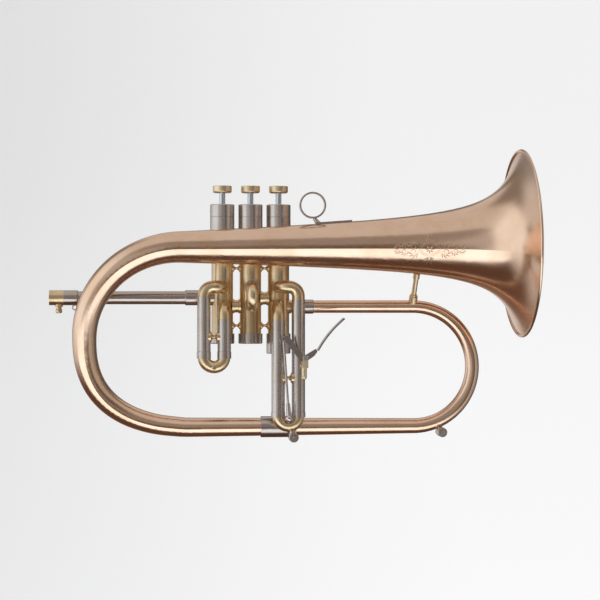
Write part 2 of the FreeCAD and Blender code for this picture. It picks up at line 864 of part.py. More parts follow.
def leadpipe_rings():
    """The collar behind the clamp with its wire loop, and the ferrule at the first casing."""
    collar = turned("leadpipe_collar_ring", [
        ("sleeve_radius", "clamp_length"), ("clamp_radius", "clamp_length"),
        ("clamp_radius", "collar_end - collar_bevel"), ("sleeve_radius", "collar_end"),
    ], at(0, 0, 0, X_AXIS))
    loop = primitive("Torus", "leadpipe_collar_loop",
                     at(mm("loop_place"), 0, mm("loop_height"), Y_AXIS),
                     Radius1="loop_radius", Radius2="loop_wire")
    keep("leadpipe_collar", fused("leadpipe_collar", [collar, loop]))
    blank = turned("leadpipe_ferrule_blank", [
        ("sleeve_radius", "lead_ferrule_start"),
        ("lead_ferrule_radius - 0.4", "lead_ferrule_start"),
        ("lead_ferrule_radius", "lead_ferrule_start + 0.6"),
        ("lead_ferrule_radius", "middle_valve - valve_pitch"),
        ("sleeve_radius", "middle_valve - valve_pitch"),
    ], at(0, 0, 0, X_AXIS))
    keep("leadpipe_ferrule", cut("leadpipe_ferrule", blank, [CASING_SPACES[0]]))


leadpipe_sleeve()
receiver_clamp()
clamp_thumbscrew()
mouthpipe()
leadpipe_rings()


# ---------------------------------------------------------------- main tubing

CROOK_RISE = math.hypot(mm("line_exit - lower_height"), mm("lower_depth"))
CROOK_LEAN = -math.degrees(math.atan2(-mm("lower_depth"), mm("line_exit - lower_height")))
CROOK_PLANE = LeaningPlane(mm("lower_depth"), mm("lower_height"), CROOK_LEAN)
BELL_PLANE = LeaningPlane(mm("lower_depth"), mm("lower_height"), mm("bell_lean"))


def crook_bar(label, less):
    """The filled shape of the main crook, or of its bore where less is the wall."""
    plane = CROOK_PLANE
    rise = CROOK_RISE
    start = plane.point(mm("exit_start"), rise)
    exit_run = primitive("Cone", label + "_exit", Placement(start, Rotation(Z_AXIS, X_AXIS)),
                         Radius1="exit_radius" + less, Radius2="bow_upper_radius" + less,
                         Height="bow_place - exit_start")
    start = plane.point(mm("joint_place"), 0)
    lower_run = primitive("Cone", label + "_lower", Placement(start, Rotation(Z_AXIS, X_AXIS)),
                          Radius1="joint_radius" + less, Radius2="bow_lower_radius" + less,
                          Height="bow_place - joint_place")
    centre = axes(plane.point(mm("bow_place"), rise / 2), X_AXIS, plane.up)
    spine = primitive("Circle", label + "_spine", centre, Angle1="-90", Angle2="90")
    spine.Radius = rise / 2
    ends = [
        plane.section(label + "_end_1", mm("bow_place"), 0, X_AXIS, "bow_lower_radius" + less),
        plane.section(label + "_end_2", mm("bow_place"), rise, LEFT, "bow_upper_radius" + less),
    ]
    bow = swept(label + "_bow", spine, ends)
    return fused(label, [exit_run, bow, lower_run])


def main_crook():
    """Exit pipe, bow and lower tube in one tapering piece."""
    solid = crook_bar("main_crook_space", "")
    hollow = crook_bar("main_crook_air", " - tube_wall")
    keep("main_crook", cut("main_crook", solid, [hollow]))
    return solid


def flare_radius(distance):
    """The bell's radius at a distance back from its rim."""
    flare = mm("bell_flare") * (distance + mm("bell_shift")) ** -mm("bell_power")
    return mm("bell_throat") - mm("bell_taper") * distance + flare


def flare_slope(distance):
    """How fast the bell widens towards the rim at a distance back from it."""
    power = mm("bell_power")
    flare = mm("bell_flare") * power * (distance + mm("bell_shift")) ** (-power - 1)
    return mm("bell_taper") + flare


def flare_edge(offset):
    """The flare's outline in its own XZ plane, moved out square to itself by offset."""
    length = mm("flare_length")
    stations = 18
    points = []
    for index in range(stations, -1, -1):
        distance = length * (index / stations) ** 2
        slope = flare_slope(distance) if index < stations else 0.0
        square = math.hypot(1, slope)
        radius = flare_radius(distance) + offset / square
        height = length - distance - offset * slope / square
        points.append(Vector(radius, 0, height))
    curve = Part.BSplineCurve()
    curve.interpolate(points)
    return curve.toShape(), points[0], points[-1]


def flare_placement():
    """Where the flare starts on the bow, looking along the bell's axis."""
    pitch = math.radians(mm("bell_pitch"))
    wide, tall = mm("bow_upper_width"), mm("bow_upper_height")
    turn = math.atan(math.tan(pitch) * wide / tall)
    along = mm("bow_left") + wide - wide * math.sin(turn)
    up = mm("bow_middle_height") + tall * math.cos(turn)
    axis = BELL_PLANE.direction(math.cos(pitch), math.sin(pitch))
    place = axes(BELL_PLANE.point(along, up), BELL_PLANE.normal, axis.cross(BELL_PLANE.normal))
    return place, math.degrees(turn), along, up, axis


FLARE_PLACE, FLARE_TURN, FLARE_ALONG, FLARE_UP, FLARE_AXIS = flare_placement()


def flare_solid(label, outer_offset, inner_offset=None):
    """The flare turned between two offsets, or filled to its axis."""
    outer, start, end = flare_edge(outer_offset)
    if inner_offset is None:
        foot, head = Vector(0, 0, start.z), Vector(0, 0, end.z)
        inner = Part.LineSegment(foot, head).toShape()
    else:
        inner, foot, head = flare_edge(inner_offset)
    sides = [Part.LineSegment(start, foot).toShape(), Part.LineSegment(end, head).toShape()]
    wire = Part.Wire(Part.__sortEdges__([outer, inner] + sides))
    feature = document.addObject("Part::Feature", label)
    feature.Label = label
    feature.Shape = Part.Face(wire).revolve(Vector(), Z_AXIS, 360)
    feature.Placement = FLARE_PLACE
    return feature


BASE_RADIUS = ("bell_throat - bell_taper * flare_length"
               " + bell_flare * (flare_length + bell_shift) ^ (-bell_power)")


def lower_quarter(plane):
    """The bow's lower quarter: squarer than an ellipse, so that it eases into the foot."""
    wide = mm("bow_lower_place - bow_left")
    tall = mm("bow_middle_height")
    power = 2 / mm("bow_lower_power")
    stations = 12
    points = []
    for index in range(stations + 1):
        turn = math.pi / 2 * index / stations
        along = 1 - max(0.0, math.cos(turn)) ** power
        up = 1 - math.sin(turn) ** power
        points.append(plane.point(mm("bow_left") + wide * along, tall * up))
    curve = Part.BSplineCurve()
    curve.interpolate(Points=points, InitialTangent=plane.direction(0, -1), FinalTangent=X_AXIS)
    return curve


def bell_bow_bars(label, less):
    """The two quarters of the bell's bow and its straight foot."""
    plane = BELL_PLANE
    middle = mm("bow_middle_height")
    left = mm("bow_left")
    lower = mm("bow_lower_place")
    upper_centre = plane.point(left + mm("bow_upper_width"), middle)
    upper_spine = primitive("Ellipse", label + "_upper_spine",
                            axes(upper_centre, LEFT, plane.up),
                            MajorRadius="bow_upper_width", MinorRadius="bow_upper_height")
    upper_spine.Angle1 = 0
    upper_spine.Angle2 = 90 - FLARE_TURN
    lower_spine = document.addObject("Part::Feature", label + "_lower_spine")
    lower_spine.Shape = lower_quarter(plane).toShape()
    down = plane.direction(0, -1)
    sections = [
        plane.section(label + "_end_1", left, middle, -down, "bow_middle_radius" + less),
        plane.section(label + "_end_2", FLARE_ALONG, FLARE_UP, FLARE_AXIS, BASE_RADIUS + less),
        plane.section(label + "_end_3", left, middle, down, "bow_middle_radius" + less),
        plane.section(label + "_end_4", lower, 0, X_AXIS, "bow_foot_radius" + less),
    ]
    upper = swept(label + "_upper", upper_spine, sections[:2])
    quarter = swept(label + "_quarter", lower_spine, sections[2:])
    foot = primitive("Cone", label + "_foot",
                     Placement(plane.point(lower, 0), Rotation(Z_AXIS, X_AXIS)),
                     Radius1="bow_foot_radius" + less, Radius2="joint_radius" + less,
                     Height="joint_place - bow_lower_place")
    return [upper, quarter, foot]


def rim_bead(label):
    """The ring of the bell's rim."""
    place = FLARE_PLACE.multiply(Placement(Vector(0, 0, mm("flare_length - 0.3")), Rotation()))
    return primitive("Torus", label, place, Radius1="rim_radius", Radius2="rim_wire")


def bell():
    """The bell: flare, bow and foot in one thin shell."""
    bow = fused("bell_bow_space", bell_bow_bars("bell_bow_bar", ""))
    air = fused("bell_bow_air", bell_bow_bars("bell_bow_core", " - bell_wall"))
    bow_shell = cut("bell_bow_shell", bow, [air])
    flare = flare_solid("bell_flare_shell", 0.0, -mm("bell_wall"))
    bead = rim_bead("bell_rim_space")
    trimmed = cut("bell_flare_trimmed", flare, [bead])
    keep("bell", fused("bell", [trimmed, bow_shell]))
    keep("bell_rim_wire", rim_bead("bell_rim_wire"))
    return [flare_solid("bell_flare_space", 0.0), bow]


CROOK_SPACE = main_crook()
FLARE_SPACE, BOW_SPACE = bell()


def ferrules():
    """The nickel ferrules where the main tubes meet, and the ringed stub before the first."""
    place = at(0, mm("lower_depth"), mm("lower_height"), X_AXIS)
    blank = pipe("bell_ferrule_blank", "joint_ferrule_radius", "joint_radius - tube_wall",
                 "joint_ferrule_start", "joint_ferrule_end", place)
    keep("bell_ferrule", cut("bell_ferrule", blank, [CROOK_SPACE, BOW_SPACE]))
    place = at(0, 0, mm("line_exit"), X_AXIS)
    keep("exit_ferrule", cut("exit_ferrule", turned("exit_ferrule_blank", [
        ("exit_radius - tube_wall", "exit_start"), ("exit_radius", "exit_start"),
        ("exit_radius", "exit_ferrule_start"),
        ("exit_ferrule_radius", "exit_ferrule_start"),
        ("exit_ferrule_radius", "exit_ferrule_end - 0.5"),
        ("exit_ferrule_radius - 0.4", "exit_ferrule_end"),
        ("exit_radius - tube_wall", "exit_ferrule_end"),
    ], place), [CROOK_SPACE]))
    stub = turned("exit_stub_blank", [
        ("air_radius", "middle_valve + valve_pitch"),
        ("knuckle_ring", "middle_valve + valve_pitch"),
        ("knuckle_ring", "middle_valve + valve_pitch + casing_radius + knuckle_ring_width"),
        ("exit_radius", "middle_valve + valve_pitch + casing_radius + knuckle_ring_width"),
        ("exit_radius", "exit_start"), ("air_radius", "exit_start"),
    ], place)
    keep("exit_stub", cut("exit_stub", stub, [CASING_SPACES[2]]))


def finger_ring():
    """The flat ring for the little finger, on a saddle strap along the top of the bell."""
    shell = flare_solid("strap_shell", mm("strap_thickness"), 0.0)
    centre_y = BELL_PLANE.point(0, FLARE_UP).y
    height = mm("ring_height")
    box = primitive("Box", "strap_box",
                    at(mm("strap_start"), centre_y - mm("strap_width / 2"), mm("line_first + 60")),
                    Length="strap_end - strap_start", Width="strap_width", Height="ring_height")
    strap = common("strap", shell, box)
    ring = turned("finger_ring_band", [
        ("ring_inner", "ring_bevel - ring_width / 2"),
        ("ring_inner + ring_bevel", "-ring_width / 2"),
        ("ring_outer - ring_bevel", "-ring_width / 2"),
        ("ring_outer", "ring_bevel - ring_width / 2"),
        ("ring_outer", "ring_width / 2 - ring_bevel"),
        ("ring_outer - ring_bevel", "ring_width / 2"),
        ("ring_inner + ring_bevel", "ring_width / 2"),
        ("ring_inner", "ring_width / 2 - ring_bevel"),
    ], at(mm("ring_place"), centre_y, height, Y_AXIS))
    head = Vector(mm("ring_place + neck_shift"), centre_y, height - mm("ring_outer - ring_bevel"))
    foot = head + Vector(mm("neck_lean"), 0, -mm("neck_height"))
    neck = primitive("Cone", "finger_ring_neck", Placement(foot, Rotation(Z_AXIS, head - foot)),
                     Radius1="neck_foot", Radius2="neck_head")
    neck.Height = (head - foot).Length
    blank = fused("finger_ring_blank", [strap, ring, neck])
    keep("finger_ring", cut("finger_ring", blank, [FLARE_SPACE]))


def bell_brace():
    """The rod with a foot and a collar that ties the bell to the exit pipe."""
    low = Vector(mm("brace_place"), 0, mm("line_exit"))
    top = BELL_PLANE.point(mm("brace_place + brace_slant"), FLARE_UP)
    span = top - low
    place = Placement(low, Rotation(Z_AXIS, span))
    length = span.Length
    rod = primitive("Cylinder", "bell_brace_rod", place, Radius="brace_rod")
    rod.Height = length
    foot = turned("bell_brace_foot", [
        ("0", "0"), ("brace_foot_radius", "0"),
        ("brace_foot_radius", "exit_radius + brace_foot_length - brace_foot_step"),
        ("brace_foot_radius - brace_foot_inset",
         "exit_radius + brace_foot_length - brace_foot_step"),
        ("brace_foot_radius - brace_foot_inset", "exit_radius + brace_foot_length"),
        ("0", "exit_radius + brace_foot_length"),
    ], place)
    distance = mm("flare_length") - (mm("brace_place + brace_slant") - FLARE_ALONG)
    back = length - flare_radius(distance) - mm("brace_top_length")
    collar_place = Placement(low + span * (back / length), Rotation(Z_AXIS, span))
    collar = primitive("Cylinder", "bell_brace_collar", collar_place,
                       Radius="brace_top_radius", Height="brace_top_length + bell_wall")
    blank = fused("bell_brace_blank", [rod, foot, collar])
    keep("bell_brace", cut("bell_brace", blank, [CROOK_SPACE, FLARE_SPACE]))


def leadpipe_brace():
    """The short brace from the leadpipe to the bell's bow."""
    x = mm("lead_brace_place")
    bow_y = BELL_PLANE.point(x, -mm("lower_height") / math.cos(math.radians(mm("bell_lean")))).y
    rod = primitive("Cylinder", "leadpipe_brace_rod", at(x, 0, 0, FRONT),
                    Radius="lead_brace_rod")
    rod.Height = -bow_y
    flange = primitive("Cylinder", "leadpipe_brace_flange", at(x, 0, 0, FRONT),
                       Radius="lead_brace_flange", Height="sleeve_radius + lead_brace_foot")
    sleeve = primitive("Cylinder", "leadpipe_brace_sleeve", at(-1, 0, 0, X_AXIS),
                       Radius="sleeve_radius", Height="lead_ferrule_start")
    blank = fused("leadpipe_brace_blank", [rod, flange])
    keep("leadpipe_brace", cut("leadpipe_brace", blank, [sleeve, BOW_SPACE]))


ferrules()
finger_ring()
bell_brace()
leadpipe_brace()


# ---------------------------------------------------------------- valve slides

def leg_places(number):
    """The X places of a slide's front and outer legs, and the way from front to outer."""
    if number == 1:
        front = mm("slide_one_leg")
        return front, front - mm("leg_spacing"), LEFT
    front = mm("slide_three_leg")
    return front, front + mm("leg_spacing"), X_AXIS


def upright_slide(number, word):
    """Everything of the first or third slide that hangs down in front of the casings."""
    front, outer, way = leg_places(number)
    depth = -mm("slide_depth")
    name = f"slide_{number}"
    upper_x = front_ports(number)[0]
    outer_head, front_head = f"slide_{word}_outer_head", f"slide_{word}_front_head"
    foot, ring = f"slide_{word}_foot", f"slide_{word}_ring"
    skirt = f"slide_{word}_skirt"
    bend = crook_torus(name + "_crook_space", number, word)
    upper = bent_tube(
        name + "_upper_elbow", Vector(upper_x, 0, mm("port_upper")), FRONT,
        [("run", "slide_depth - upper_bend"), ("bend", "upper_bend", "90", way),
         ("bend", "upper_bend", "90", DOWN),
         ("run", f"port_upper - upper_bend - ({outer_head})")],
        "elbow_tube", "air_radius")
    lower = bent_tube(
        name + "_lower_elbow", Vector(front, 0, mm("port_lower")), FRONT,
        [("run", "slide_depth - lower_bend"), ("bend", "lower_bend", "90", DOWN),
         ("run", f"port_lower - lower_bend - ({front_head})")],
        "elbow_tube", "air_radius")
    casing = CASING_SPACES[number - 1]
    group(name + "_elbows", [cut(name + "_upper_fitted", upper, [casing]),
                             cut(name + "_lower_fitted", lower, [casing])])
    legs = []
    tubes = []
    for side, x, head in (("front", front, front_head), ("outer", outer, outer_head)):
        place = at(x, depth, 0)
        tubes.append(pipe(f"{name}_{side}_tube", "slide_tube", "slide_bore", foot, head, place))
        top = f"{foot} + slide_{word}_reach"
        leg = turned(f"{name}_{side}_leg_blank", [
            ("leg_bore", skirt), ("ferrule_radius", skirt),
            ("ferrule_radius", foot + " - ring_gap"), ("leg_radius", foot + " - ring_gap"),
            ("leg_radius", top), ("leg_bore", top),
        ], place)
        air = primitive("Cylinder", f"{name}_{side}_leg_air", at(x, depth, mm(skirt) - 1),
                        Radius="leg_bore", Height=f"{ring} - ({skirt}) + 1")
        legs.append(cut(f"{name}_{side}_leg", leg, [bend, air]))
    group(name + "_outer_tubes", tubes)
    group(name + "_legs", legs)
    crook = bent_tube(name + "_crook", Vector(front, depth, mm(ring)), DOWN,
                      [("bend", "leg_spacing / 2", "180", way)], "crook_tube", "leg_bore")
    keep(name + "_crook", crook)
    spaces = []
    for side, x in (("front", front), ("outer", outer)):
        quarter_turn = Placement(Vector(x, depth, mm(foot)), Rotation(Z_AXIS, 90))
        spaces.append(primitive("Cylinder", f"{name}_{side}_space", quarter_turn,
                                Radius="slide_tube", Height=f"{front_head} - ({foot})"))
    centre = Vector((front + outer) / 2, depth, mm(f"slide_{word}_brace"))
    brace = hourglass(name + "_brace", centre, "leg_spacing / 2 - slide_tube",
                       "slide_brace_end", "slide_brace_waist", spaces)
    return brace, bend


def crook_torus(label, number, word):
    """The filled bow of an upright slide, for fitting small parts against it."""
    front, outer, way = leg_places(number)
    start = Vector(front, -mm("slide_depth"), mm(f"slide_{word}_ring"))
    return bent_solid(label, start, DOWN, [("bend", "leg_spacing / 2", "180", way)], "crook_tube")


def second_slide():
    """The short second slide, which points forward from the middle casing."""
    x = valve_x(2)
    tubes = []
    legs = []
    for side, height in (("upper", "port_upper"), ("lower", "port_lower")):
        place = at(x, 0, mm(height), FRONT)
        tube = pipe(f"slide_2_{side}_blank", "slide_tube", "slide_bore", "casing_bore",
                    "slide_two_foot", place)
        tubes.append(cut(f"slide_2_{side}_tube", tube, [CASING_SPACES[1]]))
        top = "slide_two_foot - slide_two_reach"
        legs.append(turned(f"slide_2_{side}_leg", [
            ("leg_bore", "slide_two_ring"), ("ferrule_radius", "slide_two_ring"),
            ("ferrule_radius", "slide_two_foot + ring_gap"),
            ("leg_radius", "slide_two_foot + ring_gap"),
            ("leg_radius", top), ("leg_bore", top),
        ], place))
    group("slide_2_outer_tubes", tubes)
    group("slide_2_legs", legs)
    start = Vector(x, -mm("slide_two_ring"), mm("port_upper"))
    keep("slide_2_crook", bent_tube(
        "slide_2_crook", start, FRONT, [("bend", "(port_upper - port_lower) / 2", "180", DOWN)],
        "crook_tube", "leg_bore"))


def slide_knob(crook):
    """The small pull knob on the front of the first slide's crook."""
    front, outer, _ = leg_places(1)
    height = mm("slide_one_ring - leg_spacing / 2")
    place = at((front + outer) / 2, -mm("slide_depth"), height, FRONT)
    blank = turned("slide_1_knob_blank", [
        ("0", "0"), ("knob_neck", "0"), ("knob_neck", "crook_tube + knob_reach - 2.6"),
        ("knob_radius", "crook_tube + knob_reach - 2.1"),
        ("knob_radius", "crook_tube + knob_reach - 0.6"),
        ("knob_radius - 0.6", "crook_tube + knob_reach"), ("0", "crook_tube + knob_reach"),
    ], place)
    keep("slide_1_knob", cut("slide_1_knob", blank, [crook]))


FIRST_BRACE, FIRST_CROOK = upright_slide(1, "one")
THIRD_BRACE, THIRD_CROOK = upright_slide(3, "three")
group("slide_braces", [FIRST_BRACE, THIRD_BRACE])
second_slide()
slide_knob(FIRST_CROOK)


# ---------------------------------------------------------------- trigger

PIVOT = Vector(mm("pivot_place"), mm("lever_depth"), mm("pivot_height"))
ROD_HEAD = Vector(mm("hinge_place"), mm("rod_depth"), mm("hinge_height"))
BALL = Vector(mm("ball_place"), mm("rod_depth"), mm("ball_height"))
LEVER_FRONT = mm("lever_depth - lever_thickness / 2 - lever_gap")
LEVER_BACK = mm("lever_depth + lever_thickness / 2")


def trigger_bracket():
    """The brass clevis and the tongue that solders it to the third slide's outer tube."""
    _, tube_x, _ = leg_places(3)
    left = mm("pivot_place - clevis_width / 2")
    foot = mm("pivot_height - clevis_drop")
    front = LEVER_FRONT - mm("cheek_thickness")
    middle = -mm("slide_depth")
    block = primitive("Box", "trigger_bracket_block", at(left, front, foot),
                      Length="clevis_width", Height="clevis_height")
    block.Width = middle - front
    tongue_at = at(mm("tongue_place"), mm("tongue_depth"), mm("tongue_foot"))
    tongue = primitive("Cylinder", "trigger_bracket_tongue", tongue_at, Radius="tongue_radius",
                       Height="pivot_height - clevis_drop - tongue_foot + clevis_floor")
    tip = primitive("Sphere", "trigger_bracket_tip", tongue_at, Radius="tongue_radius")
    slot = primitive("Box", "trigger_bracket_slot",
                     at(left - 1, LEVER_FRONT, foot + mm("clevis_floor")),
                     Length="clevis_width + 2", Height="clevis_height")
    slot.Width = mm("rod_depth + cheek_thickness") - LEVER_FRONT
    hole = primitive("Cylinder", "trigger_bracket_hole", at(PIVOT.x, front - 1, PIVOT.z, Y_AXIS),
                     Radius="pin_radius", Height="pin_length + 1")
    space = primitive("Cylinder", "trigger_bracket_tube", at(tube_x, middle, mm("slide_three_foot")),
                      Radius="slide_tube", Height="slide_three_outer_head - slide_three_foot")
    blank = fused("trigger_bracket_blank", [block, tongue, tip])
    keep("trigger_bracket", cut("trigger_bracket", blank, [slot, hole, space]))


def trigger_lever():
    """The nickel lever: blade towards the rod, short arm and the curved plate to pull."""
    rise = math.radians(mm("blade_rise"))
    blade_frame = axes(PIVOT, Vector(math.cos(rise), 0, math.sin(rise)),
                       Vector(-math.sin(rise), 0, math.cos(rise)))
    blade = padded("trigger_lever_blade", [
        ("0", "0"), ("blade_length - blade_round", "0"), ("blade_length", "blade_round"),
        ("blade_length", "blade_width - blade_round"),
        ("blade_length - blade_round", "blade_width"), ("0", "blade_width"),
    ], "lever_thickness", blade_frame)
    lever_y = mm("lever_depth - lever_thickness / 2")
    lug = primitive("Cylinder", "trigger_lever_lug", at(ROD_HEAD.x, lever_y, ROD_HEAD.z, Y_AXIS),
                    Radius="lug_radius", Height="lever_thickness")
    grip = Vector(mm("grip_place"), PIVOT.y, mm("grip_height"))
    way = (grip - PIVOT).normalize()
    arm = padded("trigger_lever_arm", [
        ("0", "-boss_radius"), ("7.5", "-boss_radius"), ("11.6", "-1.4"), ("12.4", "0.3"),
        ("11.8", "1.6"), ("0", "boss_radius - 0.3"),
    ], "lever_thickness", axes(PIVOT, way, Vector(-way.z, 0, way.x)))
    boss = primitive("Cylinder", "trigger_lever_boss", at(PIVOT.x, lever_y, PIVOT.z, Y_AXIS),
                     Radius="boss_radius", Height="lever_thickness")
    stud = primitive("Cylinder", "trigger_lever_stud",
                     at(ROD_HEAD.x, PIVOT.y, ROD_HEAD.z, Y_AXIS), Radius="rod_stud",
                     Height="rod_depth - lever_depth + rod_eye_width")
    turn = math.radians(mm("grip_turn"))
    centre = grip + Vector(math.cos(turn), 0, -math.sin(turn)) * mm("grip_radius")
    start = (grip - centre).normalize()
    sweep = axes(centre - Y_AXIS * mm("grip_width / 2"), start, Y_AXIS.cross(start))
    outer = primitive("Cylinder", "trigger_grip_outer", sweep, Radius="grip_radius",
                      Height="grip_width", Angle="grip_angle")
    inner = primitive("Cylinder", "trigger_grip_inner", sweep,
                      Radius="grip_radius - grip_thickness", Height="grip_width",
                      Angle="grip_angle")
    pad = cut("trigger_grip", outer, [inner])
    hole = primitive("Cylinder", "trigger_lever_hole", at(PIVOT.x, lever_y - 1, PIVOT.z, Y_AXIS),
                     Radius="pin_radius + running_gap", Height="lever_thickness + 2")
    blank = fused("trigger_lever_blank", [blade, lug, arm, boss, stud, pad])
    keep("trigger_lever", cut("trigger_lever", blank, [hole]))


def trigger_pin():
    """The slotted screw that the lever turns on."""
    front = LEVER_FRONT - mm("cheek_thickness")
    pin = turned("trigger_pivot_blank", [
        ("0", "-pin_head_height"), ("pin_head", "-pin_head_height"), ("pin_head", "0"),
        ("pin_radius", "0"), ("pin_radius", "pin_length"), ("0", "pin_length"),
    ], at(PIVOT.x, front, PIVOT.z, Y_AXIS))
    slot = primitive("Box", "trigger_pivot_slot",
                     at(PIVOT.x - mm("pin_head") - 1, front - mm("pin_head_height") - 0.1,
                        PIVOT.z - mm("pin_slot / 2")),
                     Length="2 * pin_head + 2", Width="pin_slot + 0.1", Height="pin_slot")
    keep("trigger_pivot_pin", cut("trigger_pivot_pin", pin, [slot]))


def trigger_spring():
    """The return spring, coiled on the pin behind the lever."""
    place = at(PIVOT.x, LEVER_BACK + mm("lever_gap + trigger_wire"), PIVOT.z, Y_AXIS)
    keep("trigger_spring", coil("trigger_spring", "pin_radius + 2.5 * trigger_wire",
                                "trigger_wire", "2.2 * trigger_wire", "1.0", place))


def trigger_rod():
    """The link rod with its eye, its threaded sleeve and the socket for the ball."""
    span = BALL - ROD_HEAD
    length = span.Length
    down = Placement(ROD_HEAD, Rotation(Z_AXIS, span))
    rod = primitive("Cylinder", "trigger_rod_bar", down, Radius="rod_radius")
    rod.Height = length
    eye = primitive("Cylinder", "trigger_rod_eye",
                    at(ROD_HEAD.x, mm("rod_depth - rod_eye_width / 2 + 0.05"), ROD_HEAD.z, Y_AXIS),
                    Radius="rod_eye", Height="rod_eye_width")
    collar_at = ROD_HEAD + span * (1 - mm("rod_sleeve_length + ball_radius") / length)
    collar = primitive("Cone", "trigger_rod_sleeve", Placement(collar_at, Rotation(Z_AXIS, span)),
                       Radius1="rod_sleeve - rod_sleeve_taper", Radius2="rod_sleeve",
                       Height="rod_sleeve_length + ball_radius")
    ball = at(BALL.x, BALL.y, BALL.z)
    shell = primitive("Sphere", "trigger_rod_cup", ball,
                      Radius="ball_radius + socket_gap + socket_wall")
    hollow = primitive("Sphere", "trigger_rod_hollow", ball, Radius="ball_radius + socket_gap")
    mouth = primitive("Cylinder", "trigger_rod_mouth",
                      Placement(BALL, Rotation(Z_AXIS, post_direction())),
                      Radius="ball_radius + socket_lip", Height="post_length")
    hole = primitive("Cylinder", "trigger_rod_hole",
                     at(ROD_HEAD.x, mm("rod_depth - 2"), ROD_HEAD.z, Y_AXIS),
                     Radius="rod_stud + running_gap", Height="rod_eye_width + 2")
    blank = fused("trigger_rod_blank", [rod, eye, collar, shell])
    keep("trigger_rod", cut("trigger_rod", blank, [hollow, mouth, hole]))


def post_direction():
    """From the ball towards the middle of the crook's tube below it."""
    low = Vector(BALL.x, -mm("slide_depth"), mm("slide_three_ring - leg_spacing / 2"))
    return (low - BALL).normalize()


def ball_post():
    """The ball on its short post, soldered to the third slide's crook."""
    ball = primitive("Sphere", "trigger_ball", at(BALL.x, BALL.y, BALL.z), Radius="ball_radius")
    post = primitive("Cylinder", "trigger_post",
                     Placement(BALL, Rotation(Z_AXIS, post_direction())),
                     Radius="post_radius", Height="post_length")
    blank = fused("trigger_ball_post_blank", [ball, post])
    keep("trigger_ball_post", cut("trigger_ball_post", blank, [THIRD_CROOK]))


trigger_bracket()
trigger_lever()
trigger_pin()
trigger_spring()
trigger_rod()
ball_post()


# ---------------------------------------------------------------- water keys

def water_key(name, x, y, z, toward, space):
    """A push-button water key: a cross cylinder with a nipple into the tube above it."""
    front = y - mm("key_length / 2")
    place = at(x, front, z, Y_AXIS)
    body = turned(name + "_body", [
        ("key_button + running_gap", "key_lip"), ("key_bore", "key_lip"), ("key_bore", "0"),
        ("key_radius - 0.5", "0"), ("key_radius", "0.5"),
        ("key_radius", "key_length - 0.5"), ("key_radius - 0.5", "key_length"),
        ("key_bore", "key_length"), ("key_bore", "key_shoulder"),
        ("key_button + running_gap", "key_shoulder"),
    ], place)
    centre = Vector(x, y, z)
    nipple = primitive("Cylinder", name + "_nipple", Placement(centre, Rotation(Z_AXIS, toward)),
                       Radius="nipple_radius", Height="nipple_length")
    bore = primitive("Cylinder", name + "_bore", at(x, front + mm("key_shoulder"), z, Y_AXIS),
                     Radius="key_bore", Height="key_length")
    drain = primitive("Cylinder", name + "_drain", Placement(centre, Rotation(Z_AXIS, toward)),
                      Radius="nipple_bore", Height="nipple_length")
    blank = fused(name + "_blank", [body, nipple])
    keep(name, cut(name, blank, [bore, drain, space]))
    button = turned(name + "_button", [
        ("0", "-key_reach"), ("key_ring_inner", "-key_reach"),
        ("key_ring_inner", "key_ring_depth - key_reach"),
        ("key_ring_outer", "key_ring_depth - key_reach"), ("key_ring_outer", "-key_reach"),
        ("key_button - running_gap", "-key_reach"),
        ("key_button - running_gap", "key_shoulder + running_gap"),
        ("key_piston", "key_shoulder + running_gap"), ("key_piston", "key_length - 3.4"),
        ("0", "key_length - 3.4"),
    ], place)
    keep(name + "_button", button)


def water_keys():
    """The key under the third slide's crook and the key under the main bow."""
    centre = Vector(mm("ball_place"), -mm("slide_depth"), mm("slide_three_ring"))
    spot = Vector(mm("slide_key_place"), -mm("slide_depth"), mm("slide_key_height"))
    water_key("slide_water_key", spot.x, spot.y, spot.z, (centre - spot).normalize(),
              THIRD_CROOK)
    bow_centre = CROOK_PLANE.point(mm("bow_place"), CROOK_RISE / 2)
    low = Vector(mm("main_key_place"), mm("lower_depth"), mm("main_key_height"))
    water_key("main_water_key", low.x, low.y, low.z, (bow_centre - low).normalize(),
              CROOK_SPACE)


water_keys()


# ---------------------------------------------------------------- check and export

document.recompute()
for item in document.Objects:
    if "Invalid" in item.State or "Error" in item.State:
        raise RuntimeError(f"{item.Label} failed: {item.State}")
for item in SUB_PARTS:
    if item.Shape.isNull() or not item.Shape.isValid():
        raise RuntimeError(f"{item.Label} has no valid shape")
for item in SUB_PARTS:
    item.Shape.exportStep(f"parts/{item.Label}.step")
    print(f"{item.Label}: {len(item.Shape.Solids)} solid(s), {item.Shape.Volume:.1f} mm3")
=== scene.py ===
import math

import bmesh
import bpy
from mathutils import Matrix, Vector
from mathutils.bvhtree import BVHTree


